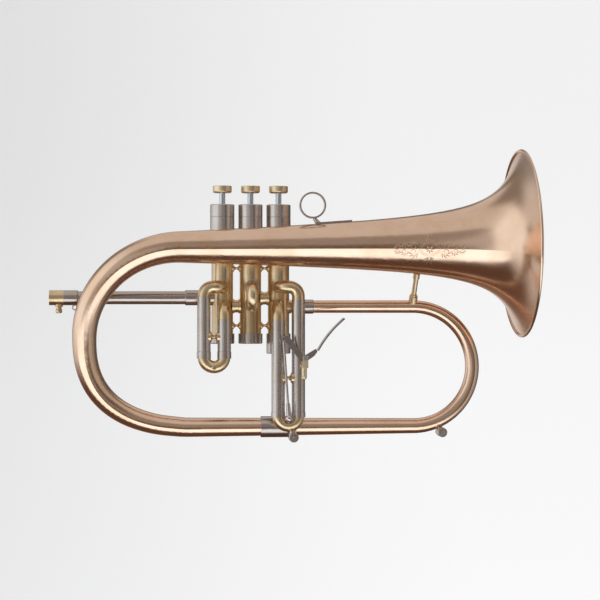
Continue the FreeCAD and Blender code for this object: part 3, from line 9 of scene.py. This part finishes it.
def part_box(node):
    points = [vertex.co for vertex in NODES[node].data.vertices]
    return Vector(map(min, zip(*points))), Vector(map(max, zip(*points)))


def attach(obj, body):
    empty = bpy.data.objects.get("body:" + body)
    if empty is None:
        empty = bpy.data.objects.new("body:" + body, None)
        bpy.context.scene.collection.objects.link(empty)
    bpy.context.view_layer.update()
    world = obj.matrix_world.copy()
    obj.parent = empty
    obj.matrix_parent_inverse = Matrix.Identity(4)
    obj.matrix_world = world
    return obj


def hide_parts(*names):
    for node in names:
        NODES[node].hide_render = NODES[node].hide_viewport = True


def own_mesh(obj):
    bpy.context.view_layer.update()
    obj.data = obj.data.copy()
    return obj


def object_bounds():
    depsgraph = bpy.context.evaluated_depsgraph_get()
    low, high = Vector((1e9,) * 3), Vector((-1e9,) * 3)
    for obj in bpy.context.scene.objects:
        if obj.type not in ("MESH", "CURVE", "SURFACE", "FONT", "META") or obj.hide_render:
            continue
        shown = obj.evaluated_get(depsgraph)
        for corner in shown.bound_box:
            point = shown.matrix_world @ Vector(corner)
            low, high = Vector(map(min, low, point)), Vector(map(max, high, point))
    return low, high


# Looks for a satin flugelhorn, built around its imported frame. Metres; +X to the bell, +Z up the valves.

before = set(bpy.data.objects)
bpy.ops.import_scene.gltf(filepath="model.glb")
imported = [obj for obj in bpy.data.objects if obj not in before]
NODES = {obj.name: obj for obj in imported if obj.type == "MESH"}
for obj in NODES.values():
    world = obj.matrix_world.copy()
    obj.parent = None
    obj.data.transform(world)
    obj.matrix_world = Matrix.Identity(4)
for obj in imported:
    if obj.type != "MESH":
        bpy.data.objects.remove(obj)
CAD_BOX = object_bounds()
LOW = Vector(CAD_BOX[0])
MM = 0.001
scene = bpy.context.scene


# ---------------------------------------------------------------- node helpers

class Nodes:
    """Short ways to build a node tree."""

    def __init__(self, tree):
        self.tree = tree

    def node(self, kind, **settings):
        node = self.tree.nodes.new(kind)
        for name, value in settings.items():
            setattr(node, name, value)
        return node

    def feed(self, socket, value):
        if isinstance(value, bpy.types.NodeSocket):
            self.tree.links.new(value, socket)
        else:
            socket.default_value = value

    def math(self, operation, first, second=0.0):
        node = self.node("ShaderNodeMath", operation=operation)
        self.feed(node.inputs[0], first)
        self.feed(node.inputs[1], second)
        return node.outputs[0]

    def ramp(self, value, low, high, out_low=0.0, out_high=1.0):
        node = self.node("ShaderNodeMapRange", interpolation_type="SMOOTHSTEP")
        for socket, item in zip(node.inputs, (value, low, high, out_low, out_high)):
            self.feed(socket, item)
        return node.outputs[0]

    def mix(self, factor, first, second):
        node = self.node("ShaderNodeMix", data_type="RGBA")
        self.feed(node.inputs[0], factor)
        self.feed(node.inputs[6], first)
        self.feed(node.inputs[7], second)
        return node.outputs[2]

    def split(self, vector):
        node = self.node("ShaderNodeSeparateXYZ")
        self.feed(node.inputs[0], vector)
        return node.outputs

    def angle(self, rise, run):
        """The angle of a slope in degrees."""
        return self.math("DEGREES", self.math("ARCTAN2", rise, run))

    def bands(self, value, first, steps):
        """Colours in turn along a value; each step is its middle, its width and its colour."""
        colour = rgba(first)
        for middle, width, following in steps:
            factor = self.ramp(value, middle - width / 2, middle + width / 2)
            colour = self.mix(factor, colour, rgba(following))
        return colour


class Shader(Nodes):
    """The nodes of one new material."""

    def __init__(self, name):
        self.material = bpy.data.materials.new(name)
        self.material.use_nodes = True
        super().__init__(self.material.node_tree)
        self.surface = self.tree.nodes["Principled BSDF"]

    def set(self, name, value):
        self.feed(self.surface.inputs[name], value)

    def object_point(self, scale=(1, 1, 1)):
        mapping = self.node("ShaderNodeMapping")
        self.feed(mapping.inputs["Vector"], self.node("ShaderNodeTexCoord").outputs["Object"])
        mapping.inputs["Scale"].default_value = scale
        return mapping.outputs[0]

    def noise(self, vector, scale, detail=3.0, roughness=0.55):
        node = self.node("ShaderNodeTexNoise")
        for name, value in (("Vector", vector), ("Scale", scale), ("Detail", detail),
                            ("Roughness", roughness)):
            self.feed(node.inputs[name], value)
        return node.outputs["Fac"]

    def soft_edges(self, radius):
        """A normal that rounds the edges, and a value near 1 on them."""
        bevel = self.node("ShaderNodeBevel", samples=4)
        bevel.inputs["Radius"].default_value = radius
        dot = self.node("ShaderNodeVectorMath", operation="DOT_PRODUCT")
        self.feed(dot.inputs[0], bevel.outputs[0])
        self.feed(dot.inputs[1], self.node("ShaderNodeNewGeometry").outputs["Normal"])
        return bevel.outputs[0], self.ramp(dot.outputs["Value"], 0.99, 0.85)

    def bump(self, height, strength, distance, normal=None):
        node = self.node("ShaderNodeBump")
        node.inputs["Strength"].default_value = strength
        node.inputs["Distance"].default_value = distance
        self.feed(node.inputs["Height"], height)
        if normal:
            self.feed(node.inputs["Normal"], normal)
        self.set("Normal", node.outputs[0])


def rgba(colour, gain=1.0):
    """A colour from three parts or one grey, with its alpha."""
    parts = (colour, colour, colour) if isinstance(colour, float) else colour
    return tuple(part * gain for part in parts) + (1.0,)


# ---------------------------------------------------------------- materials

ROSE = (0.87, 0.605, 0.44)
YELLOW = (0.81, 0.62, 0.385)
BUTTON = (0.90, 0.70, 0.46)
NICKEL = (0.66, 0.585, 0.54)
DARK_NICKEL = (0.55, 0.475, 0.435)
STEEL = (0.66, 0.70, 0.74)
# Painted shade: a darker copy of nickel that stands in for the dim reflection on the lever's face.
LEVER_PAINTED_SHADE = (0.50, 0.44, 0.42)
# Painted light: a paler, brighter copy of brass that makes the trigger bracket look lit.
BRACKET_PAINTED_LIGHT = (0.95, 0.78, 0.54)
CHASED = (0.74, 0.50, 0.36)

ALONG_X = (0.05, 1.0, 1.0)
ALONG_Y = (1.0, 0.05, 1.0)
ALONG_Z = (1.0, 1.0, 0.05)


def satin_metal(name, colour, roughness, grain, tarnish=0.08, edge=0.2):
    """Satin-brushed metal: fine grain along the tube, cloudy lacquer, edges rounded to a radius in mm with a
    painted highlight on them.
    """
    shader = Shader(name)
    streak = shader.noise(shader.object_point(grain), 2200.0, 4.0, 0.6)
    cloud = shader.noise(shader.object_point(), 34.0, 3.0)
    speck = shader.noise(shader.object_point(), 700.0, 4.0, 0.7)
    aged = (colour[0], colour[1] * 0.95, colour[2] * 0.87)
    shade = shader.mix(shader.ramp(cloud, 0.35, 0.7), rgba(colour), rgba(aged, 1.0 - tarnish))
    shade = shader.mix(shader.ramp(streak, 0.35, 0.7, 0.0, 0.5), shade, rgba(colour, 1.08))
    shade = shader.mix(shader.ramp(speck, 0.68, 0.82, 0.0, 0.10), shade, rgba(colour, 0.6))
    normal, edge_highlight = shader.soft_edges(edge * MM)
    # Painted highlight: the base colour is made brighter along the rounded edges.
    shade = shader.mix(shader.math("MULTIPLY", edge_highlight, 0.4), shade, rgba(colour, 1.12))
    rough = shader.ramp(streak, 0.3, 0.7, roughness - 0.02, roughness + 0.03)
    rough = shader.math("ADD", rough, shader.ramp(cloud, 0.3, 0.8, 0.0, 0.04))
    shader.set("Base Color", shade)
    shader.set("Roughness", rough)
    shader.set("Metallic", 1.0)
    shader.bump(streak, 0.3, 0.0006 * MM, normal)
    return shader.material


def pressed_felt():
    shader = Shader("pressed_felt")
    fibre = shader.noise(shader.object_point(), 2400.0, 6.0, 0.75)
    shader.set("Base Color", shader.mix(shader.ramp(fibre, 0.3, 0.7), rgba((0.10, 0.075, 0.06)),
                                        rgba((0.24, 0.19, 0.16))))
    shader.set("Roughness", 0.95)
    shader.set("Sheen Weight", 0.5)
    shader.bump(fibre, 0.6, 0.3 * MM)
    return shader.material


def moulded_plastic():
    shader = Shader("moulded_plastic")
    grain = shader.noise(shader.object_point(), 900.0)
    shader.set("Base Color", shader.mix(shader.ramp(grain, 0.3, 0.7), rgba((0.74, 0.70, 0.60)),
                                        rgba((0.83, 0.80, 0.72))))
    shader.set("Roughness", shader.ramp(grain, 0.3, 0.7, 0.38, 0.52))
    shader.bump(grain, 0.15, 0.05 * MM)
    return shader.material


ROSE_X = satin_metal("rose_brass", ROSE, 0.19, ALONG_X)
FINISHES = (
    (ROSE_X, "bell main_crook bell_rim_wire"),
    (satin_metal("yellow_brass_z", YELLOW, 0.27, ALONG_Z),
     "valve_casing_1 valve_casing_2 valve_casing_3 slide_1_elbows slide_3_elbows "
     "slide_1_crook slide_3_crook bell_brace clamp_thumbscrew"),
    (satin_metal("yellow_brass_x", YELLOW, 0.27, ALONG_X),
     "crossover_tubes casing_braces slide_braces exit_stub receiver_clamp"),
    (satin_metal("yellow_brass_y", YELLOW, 0.27, ALONG_Y),
     "slide_2_crook slide_2_outer_tubes slide_1_knob leadpipe_brace"),
    (satin_metal("button_brass", BUTTON, 0.34, (1, 1, 0.3)),
     "finger_button_1 finger_button_2 finger_button_3"),
    (satin_metal("nickel_silver_z", NICKEL, 0.25, ALONG_Z),
     "valve_barrels valve_top_caps valve_bottom_caps slide_1_outer_tubes "
     "slide_1_legs slide_3_outer_tubes slide_3_legs trigger_rod trigger_ball_post"),
    (satin_metal("nickel_silver_x", DARK_NICKEL, 0.22, ALONG_X),
     "leadpipe_collar leadpipe_ferrule leadpipe_sleeve mouthpipe bell_ferrule "
     "exit_ferrule finger_ring"),
    (satin_metal("lever_nickel", LEVER_PAINTED_SHADE, 0.22, (0.3, 1, 0.3), edge=0.7), "trigger_lever"),
    # The trigger bracket's brass is painted brighter, as painted light.
    (satin_metal("bracket_brass_painted_light", BRACKET_PAINTED_LIGHT, 0.38, ALONG_Z, edge=0.5), "trigger_bracket"),
    (satin_metal("nickel_silver_y", NICKEL, 0.25, ALONG_Y),
     "slide_2_legs slide_water_key slide_water_key_button main_water_key "
     "main_water_key_button"),
    (satin_metal("lapped_steel", STEEL, 0.20, (1, 1, 0.2), 0.03),
     "piston_1 piston_2 piston_3 valve_stem_1 valve_stem_2 valve_stem_3 "
     "trigger_spring trigger_pivot_pin"),
    (pressed_felt(), "cap_felts"),
    (moulded_plastic(), "valve_guides"),
)


def solid_piece(name, vertices, faces, material):
    """A smooth closed mesh with its faces turned outwards."""
    mesh = bpy.data.meshes.new(name)
    mesh.from_pydata(vertices, [], faces)
    work = bmesh.new()
    work.from_mesh(mesh)
    bmesh.ops.recalc_face_normals(work, faces=work.faces)
    work.to_mesh(mesh)
    work.free()
    for face in mesh.polygons:
        face.use_smooth = True
    mesh.materials.append(material)
    piece = bpy.data.objects.new(name, mesh)
    scene.collection.objects.link(piece)
    return piece


def dress_frame():
    """Gives each carried-over CAD node its finish."""
    for material, names in FINISHES:
        for name in names.split():
            slots = NODES[name].data.materials
            slots.clear()
            slots.append(material)


# ---------------------------------------------------------------- valve springs

SPRING_FOOT = 34.1
SPRING_HEAD = 69.4
SPRING_RADIUS = 5.6
WIRE_RADIUS = 0.5


def spring_height(turn, turns):
    """How far up the wire is after some turns: close-wound first and last turns, open ones between."""
    closed = 2.1 * WIRE_RADIUS
    open_pitch = (SPRING_HEAD - SPRING_FOOT - 2 * WIRE_RADIUS - 2 * closed) / (turns - 2)
    return closed * min(turn, 1) + open_pitch * min(max(turn - 1, 0), turns - 2) + closed * max(turn - turns + 1, 0)


def valve_coil(number, steel):
    """A compression spring with closed ends."""
    turns = 9.5
    rings = 24 * 9 + 12
    around = 10
    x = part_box(f"valve_spring_{number}")
    centre = (x[0][0] + x[1][0]) / 2
    vertices = []
    faces = []
    for ring in range(rings + 1):
        turn = turns * ring / rings
        angle = 2 * math.pi * turn
        height = SPRING_FOOT + WIRE_RADIUS + spring_height(turn, turns)
        for step in range(around):
            roll = 2 * math.pi * step / around
            radius = SPRING_RADIUS + WIRE_RADIUS * math.cos(roll)
            vertices.append((centre + radius * math.cos(angle) * MM, radius * math.sin(angle) * MM,
                             (height + WIRE_RADIUS * math.sin(roll)) * MM))
    for ring in range(rings):
        for step in range(around):
            a = ring * around + step
            b = ring * around + (step + 1) % around
            faces.append((a, a + around, b + around, b))
    faces.append(tuple(range(around)))
    faces.append(tuple(range(len(vertices) - 1, len(vertices) - 1 - around, -1)))
    spring = solid_piece(f"valve_coil_{number}", vertices, faces, steel)
    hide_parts(f"valve_spring_{number}")
    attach(spring, "horn")
    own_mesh(spring)


# ---------------------------------------------------------------- bell ornament

ORNAMENT_AT = (326.0, 41.5)
STROKE_STEPS = 20


def sweep_line(start, heading, length, bend, last_bend):
    """A line whose bend in degrees per millimetre changes evenly along it, as points and headings."""
    x, z = start
    stride = length / STROKE_STEPS
    line = [(x, z, heading)]
    for step in range(STROKE_STEPS):
        heading += stride * (bend + (last_bend - bend) * (step + 0.5) / STROKE_STEPS)
        x += stride * math.cos(math.radians(heading))
        z += stride * math.sin(math.radians(heading))
        line.append((x, z, heading))
    return line


def leafy_curl(start, size, side):
    """A curl with leaves on its outer side."""
    curl = sweep_line(start, 84.0 * side, 20.0 * size, -10.5 * side / size, -38.0 * side / size)
    strokes = [(curl, 0.3)]
    for step in (2, 4, 6, 8):
        x, z, along = curl[step]
        leaf = sweep_line((x, z), along + 30.0 * side, 3.9 * size, -3.0 * side, -20.0 * side)
        strokes.append((leaf, 0.5 * size))
    return strokes


def ornament_strokes():
    """Half of a leaf scroll: an oval frame with a rosette, a crest, and curls running out sideways."""
    strokes = []
    for width, height in ((8.6, 5.8), (7.2, 4.5)):
        for quarter in range(2):
            oval = []
            for step in range(STROKE_STEPS + 1):
                turn = math.radians(-90.0 + 90.0 * (quarter + step / STROKE_STEPS))
                oval.append((width * math.cos(turn), height * math.sin(turn), 0.0))
            strokes.append((oval, 0.24))
    for petal in range(5):
        turn = -90.0 + 45.0 * petal
        start = (math.cos(math.radians(turn)), math.sin(math.radians(turn)))
        strokes.append((sweep_line(start, turn, 2.8, 0.0, 0.0), 0.6))
    for side in (1, -1):
        for x, size in ((9.6, 1.0), (18.3, 0.8), (25.2, 0.6)):
            strokes += leafy_curl((x, 1.8 * size * side), size, side)
        for lean in (76.0, 48.0, 22.0):
            leaf = sweep_line((0.7, 6.7 * side), lean * side, 3.0 + 0.045 * lean, 6.0 * side, -14.0 * side)
            strokes.append((leaf, 0.5))
    return strokes


def chase(bell, centre_line, half_width, mirror, vertices, faces):
    """Lays one tapered, slightly raised stroke on the bell."""
    height = 0.07 * MM
    section = ((-1.0, -0.6), (-0.5, 0.8), (0.0, 1.0), (0.5, 0.8), (1.0, -0.6))
    ring = len(section)
    first = len(vertices)
    for place, (x, z, heading) in enumerate(centre_line):
        taper = 0.25 + 0.75 * math.sin(math.pi * place / STROKE_STEPS) ** 0.7
        before = centre_line[max(place - 1, 0)]
        after = centre_line[min(place + 1, STROKE_STEPS)]
        along = Vector(((after[0] - before[0]) * mirror, 0, after[1] - before[1]))
        origin = Vector((ORNAMENT_AT[0] + x * mirror, -200.0, ORNAMENT_AT[1] + z)) * MM
        point, normal, _, _ = bell.ray_cast(origin, Vector((0, 1, 0)))
        across = along.cross(normal).normalized()
        for sideways, up in section:
            vertices.append(point + across * (sideways * half_width * taper * MM) + normal * (up * height))
    for step in range(STROKE_STEPS):
        for side in range(ring):
            a = first + step * ring + side
            b = first + step * ring + (side + 1) % ring
            faces.append((a, b, b + ring, a + ring))
    faces.append(tuple(range(first + ring - 1, first - 1, -1)))
    last = first + STROKE_STEPS * ring
    faces.append(tuple(range(last, last + ring)))


def bell_ornament():
    """A leaf scroll worked in the side of the bell."""
    surface = NODES["bell"].data
    bell = BVHTree.FromPolygons([vertex.co for vertex in surface.vertices],
                                [face.vertices for face in surface.polygons])
    vertices = []
    faces = []
    for mirror in (1, -1):
        for centre_line, half_width in ornament_strokes():
            chase(bell, centre_line, half_width, mirror, vertices, faces)
    finish = satin_metal("chased_brass", CHASED, 0.34, (1, 1, 1), 0.15)
    ornament = solid_piece("bell_ornament", vertices, faces, finish)
    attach(ornament, "horn")


# ---------------------------------------------------------------- studio

def studio_world():
    """Soft panels around the horn: overhead, low in front, left and right, with dark gaps."""
    world = bpy.data.worlds.new("studio_world")
    scene.world = world
    world.use_nodes = True
    nodes = Nodes(world.node_tree)
    x, y, z = nodes.split(nodes.node("ShaderNodeTexCoord").outputs["Generated"])
    toward = nodes.math("MULTIPLY", y, -1.0)
    leftward = nodes.math("MULTIPLY", x, -1.0)
    turn = nodes.angle(leftward, toward)
    # The low panel hangs a little higher at the left than at the right.
    tilt = nodes.ramp(turn, -30.0, 30.0, 5.0, -5.0)
    upright = nodes.bands(nodes.math("ADD", nodes.angle(z, toward), tilt), (0.24, 0.16, 0.12), (
        (-140.0, 20.0, (0.112, 0.066, 0.046)),
        (-61.0, 7.0, (1.50, 1.65, 1.78)),
        (-22.0, 5.0, (0.12, 0.09, 0.07)),
        (1.0, 7.0, (0.31, 0.29, 0.28)),
        (38.5, 6.0, (0.64, 0.64, 0.64)),
        (147.0, 10.0, (0.17, 0.14, 0.12)),
    ))
    around = nodes.bands(turn, 0.12, (
        (-105.0, 12.0, 0.33),
        (-75.0, 8.0, 0.48),
        (-44.0, 8.0, (0.13, 0.10, 0.08)),
        (-22.0, 10.0, 0.30),
        (0.0, 12.0, 0.50),
        (42.0, 14.0, (0.98, 1.06, 1.13)),
        (106.0, 14.0, (0.70, 0.74, 0.78)),
        (140.0, 16.0, 0.30),
    ))
    # At the lower left the two panels meet.
    corner = nodes.math("MULTIPLY", nodes.ramp(z, 0.0, -0.15), nodes.ramp(x, 0.0, -0.15))
    across = nodes.math("ABSOLUTE", x)
    side = nodes.angle(across, nodes.math("ABSOLUTE", z))
    side = nodes.math("SUBTRACT", side, nodes.math("MULTIPLY", corner, 22.0))
    side = nodes.math("MULTIPLY", nodes.ramp(side, 30.0, 62.0), nodes.ramp(across, 0.07, 0.14))
    light = nodes.mix(side, upright, around)
    # Behind the panels, above and below, the room is dark.
    behind = nodes.math("MULTIPLY", nodes.ramp(y, 0.15, 0.45), nodes.ramp(x, -0.2, -0.45))
    above = nodes.math("MULTIPLY", behind, nodes.ramp(z, 0.25, 0.5))
    below = nodes.math("MULTIPLY", behind, nodes.ramp(z, -0.2, -0.45))
    light = nodes.mix(above, light, rgba((0.25, 0.23, 0.22)))
    light = nodes.mix(below, light, rgba((0.14, 0.08, 0.06)))
    light = nodes.mix(nodes.ramp(y, 0.93, 0.97), light, rgba((0.70, 0.68, 0.67)))
    # Seen directly, the room is as pale as the paper.
    seen = nodes.node("ShaderNodeLightPath").outputs["Is Camera Ray"]
    light = nodes.mix(seen, light, rgba(0.86))
    nodes.feed(world.node_tree.nodes["Background"].inputs[0], light)


def pale_paper():
    """Pale paper that glows with its own emission as painted light, a little lighter towards the right and lower
    down, with a faint tooth.
    """
    shader = Shader("pale_paper")
    x, y, z = shader.split(shader.object_point())
    tooth = shader.noise(shader.object_point(), 260.0, 2.0)
    # Painted light: emission makes the paper glow, brighter towards the right and lower down.
    painted_glow = shader.math("ADD", shader.ramp(x, -0.5, 0.65, 0.42, 0.57),
                        shader.ramp(z, 0.4, -0.3, 0.0, 0.07))
    painted_glow = shader.math("ADD", painted_glow, shader.ramp(tooth, 0.3, 0.7, -0.004, 0.004))
    shader.set("Base Color", rgba(0.45))
    shader.set("Roughness", 0.9)
    shader.set("Emission Color", rgba((1.0, 1.0, 1.0)))
    shader.set("Emission Strength", painted_glow)
    return shader.material


def studio_sweep():
    """A pale floor that curves up into a backdrop."""
    floor = LOW.z - 0.35
    radius = 0.8
    back = 1.6
    half = 12.0
    profile = [(-half, floor), (back - radius, floor)]
    steps = 16
    for step in range(1, steps + 1):
        angle = math.pi / 2 * step / steps
        profile.append((back - radius + radius * math.sin(angle),
                        floor + radius - radius * math.cos(angle)))
    profile.append((back, floor + 4.0))
    vertices = []
    for y, z in profile:
        vertices += [(-half, y, z), (half, y, z)]
    faces = [(2 * i, 2 * i + 1, 2 * i + 3, 2 * i + 2) for i in range(len(profile) - 1)]
    mesh = bpy.data.meshes.new("studio_sweep")
    mesh.from_pydata(vertices, [], faces)
    for face in mesh.polygons:
        face.use_smooth = True
    mesh.materials.append(pale_paper())
    sweep = bpy.data.objects.new("studio_sweep", mesh)
    scene.collection.objects.link(sweep)
    sweep.visible_glossy = False


def camera():
    """Looks level at the slide side, turned a little towards the bell."""
    data = bpy.data.cameras.new("camera")
    data.sensor_width = 36.0
    data.lens = 95.26
    thing = bpy.data.objects.new("camera", data)
    thing.location = (0.09714, -1.39847, -0.00198)
    thing.rotation_euler = (math.pi / 2, 0, math.radians(-5.0))
    scene.collection.objects.link(thing)
    scene.camera = thing


dress_frame()
spring_steel = satin_metal("spring_steel", STEEL, 0.24, ALONG_Z, 0.03)
for valve in (1, 2, 3):
    valve_coil(valve, spring_steel)
bell_ornament()
studio_world()
studio_sweep()
camera()
scene.view_settings.view_transform = "Standard"
